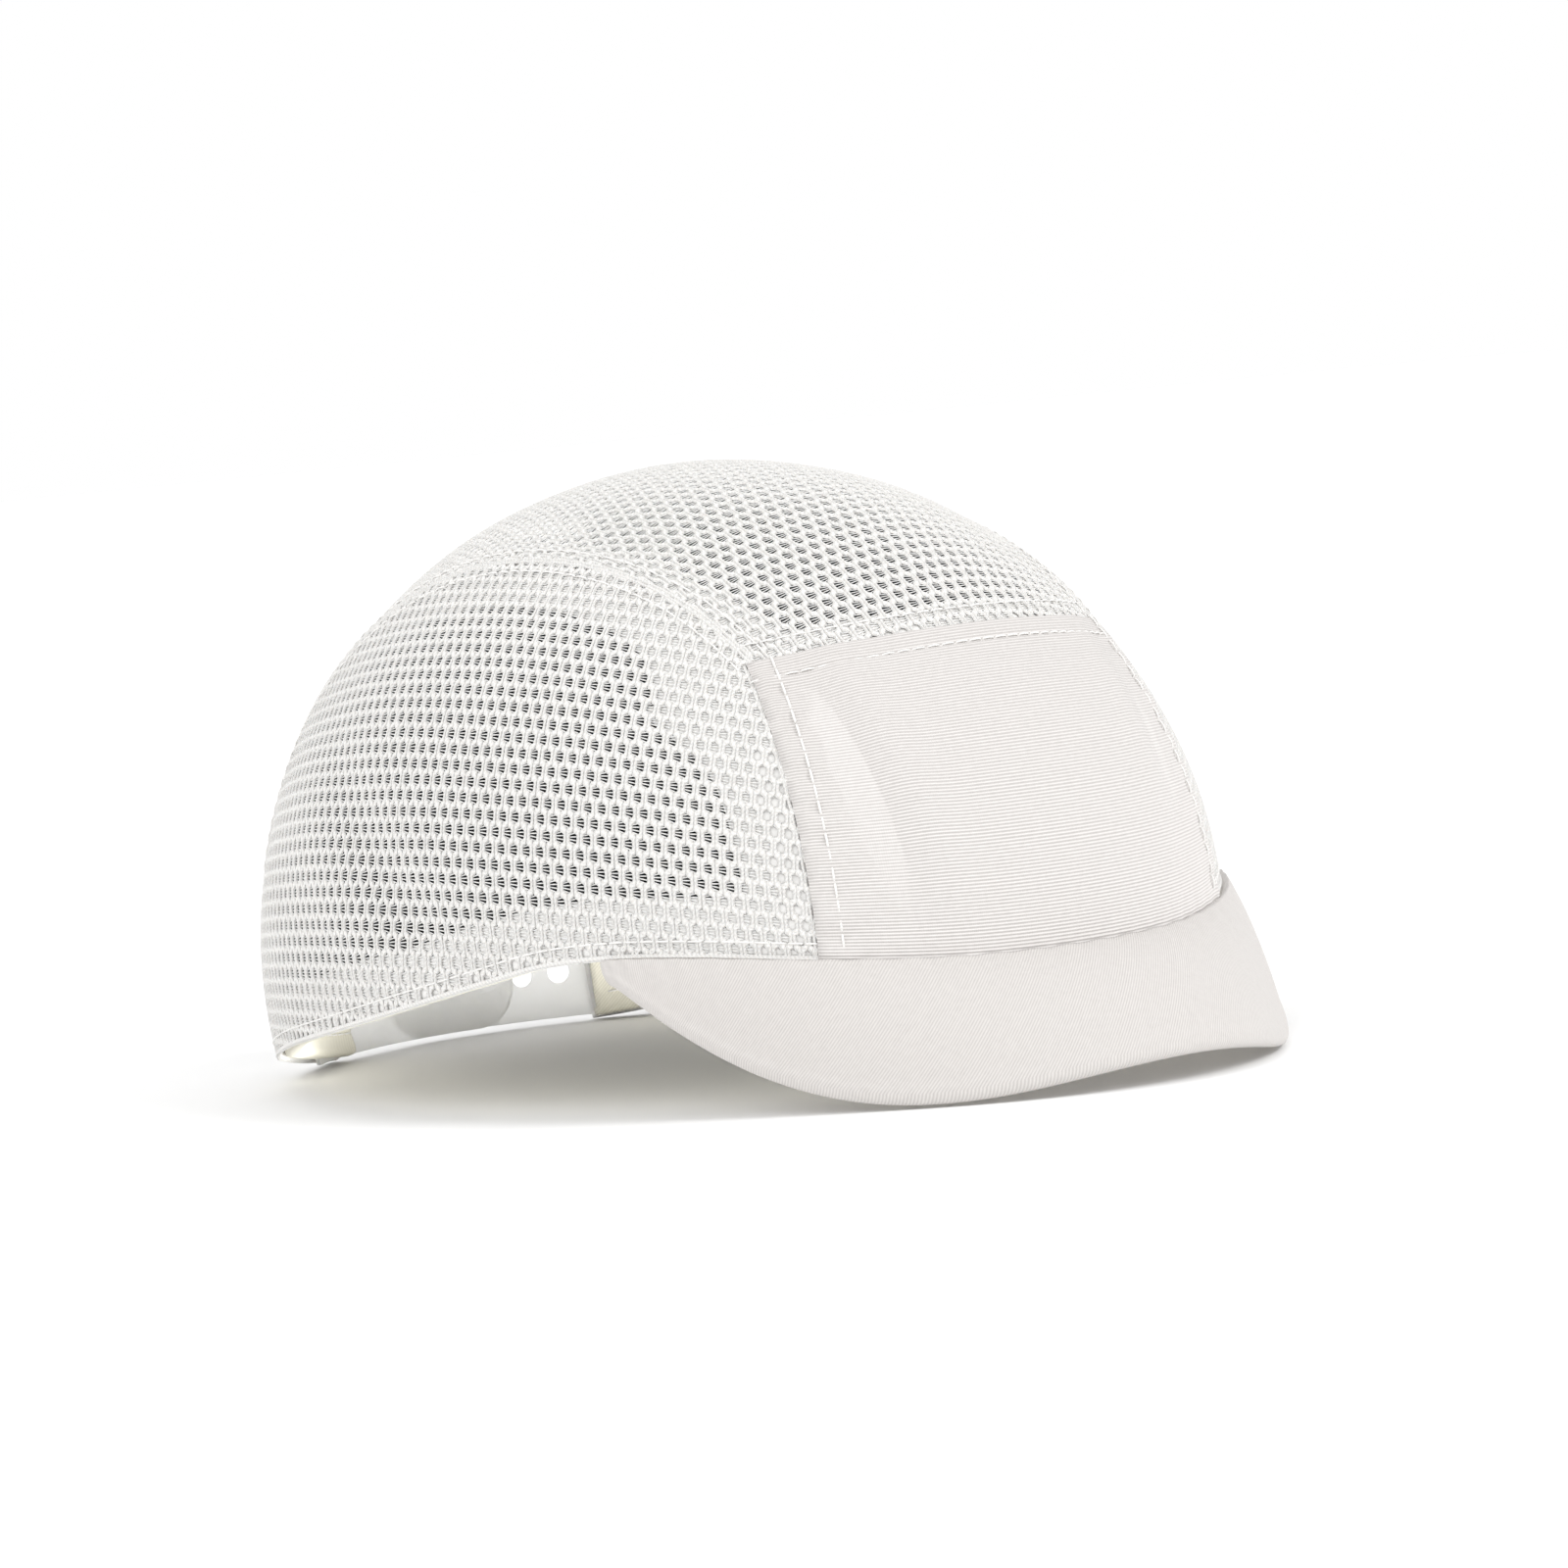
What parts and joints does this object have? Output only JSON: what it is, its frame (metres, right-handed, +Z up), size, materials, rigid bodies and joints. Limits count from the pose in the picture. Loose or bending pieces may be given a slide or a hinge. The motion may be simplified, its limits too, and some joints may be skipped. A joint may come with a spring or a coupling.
{
  "type": "bump cap",
  "caption": "Baseball-style bump cap with a mesh cover over a vented protective shell, a short curved peak and a snap strap at the back.",
  "frame": {"origin": "centre of the whole cap's outline in plan, on the surface that it stands on", "axes": "+Z up; the peak points along -Y; the wearer's right is -X"},
  "size_m": [0.184, 0.251, 0.124],
  "materials": {
    "front_cloth": "fine ribbed weave",
    "mesh_net": "warp-knitted net",
    "tape": "plain woven tape",
    "sweatband_cloth": "brushed twill",
    "shell_plastic": "fine moulded grain",
    "foam": "closed-cell foam",
    "board_plastic": "smooth sheet",
    "peak_cloth": "fine twill",
    "strap_plastic": "soft translucent moulding"
  },
  "bodies": {
    "cap": {"front_panel": "front_cloth", "top_mesh_panel": "mesh_net", "side_mesh_panel_right": "mesh_net", "side_mesh_panel_left": "mesh_net", "top_seam_tape_right": "tape", "top_seam_tape_left": "tape", "front_side_tape_right": "tape", "front_side_tape_left": "tape", "front_edge_tape": "tape", "hem_tape_right": "tape", "hem_tape_left": "tape", "arch_binding": "tape", "sweatband": "sweatband_cloth", "inner_shell": "shell_plastic", "crown_pad": "foam", "front_pad": "foam", "rear_pad": "foam", "side_pad_right": "foam", "side_pad_left": "foam", "peak_board": "board_plastic", "peak_top_cover": "peak_cloth", "peak_under_cover": "peak_cloth", "peak_edge_fold": "peak_cloth", "strap_sewn_end_right": "strap_plastic", "strap_sewn_end_left": "strap_plastic"},
    "hole_strap": {"hole_strap": "strap_plastic"},
    "stud_strap": {"stud_strap": "strap_plastic"}
  },
  "joints": [
    {"name": "hole_strap_swing", "type": "hinge", "parent": "cap", "child": "hole_strap", "pos_m": [0.034, 0.1154, 0.0115], "axis": [0, 0, -1], "range_deg": [0, 30], "stiffness_Nm_per_rad": 0.02},
    {"name": "stud_strap_swing", "type": "hinge", "parent": "cap", "child": "stud_strap", "pos_m": [-0.034, 0.1139, 0.0115], "axis": [0, 0, -1], "range_deg": [0, 20], "stiffness_Nm_per_rad": 0.02}
  ]
}
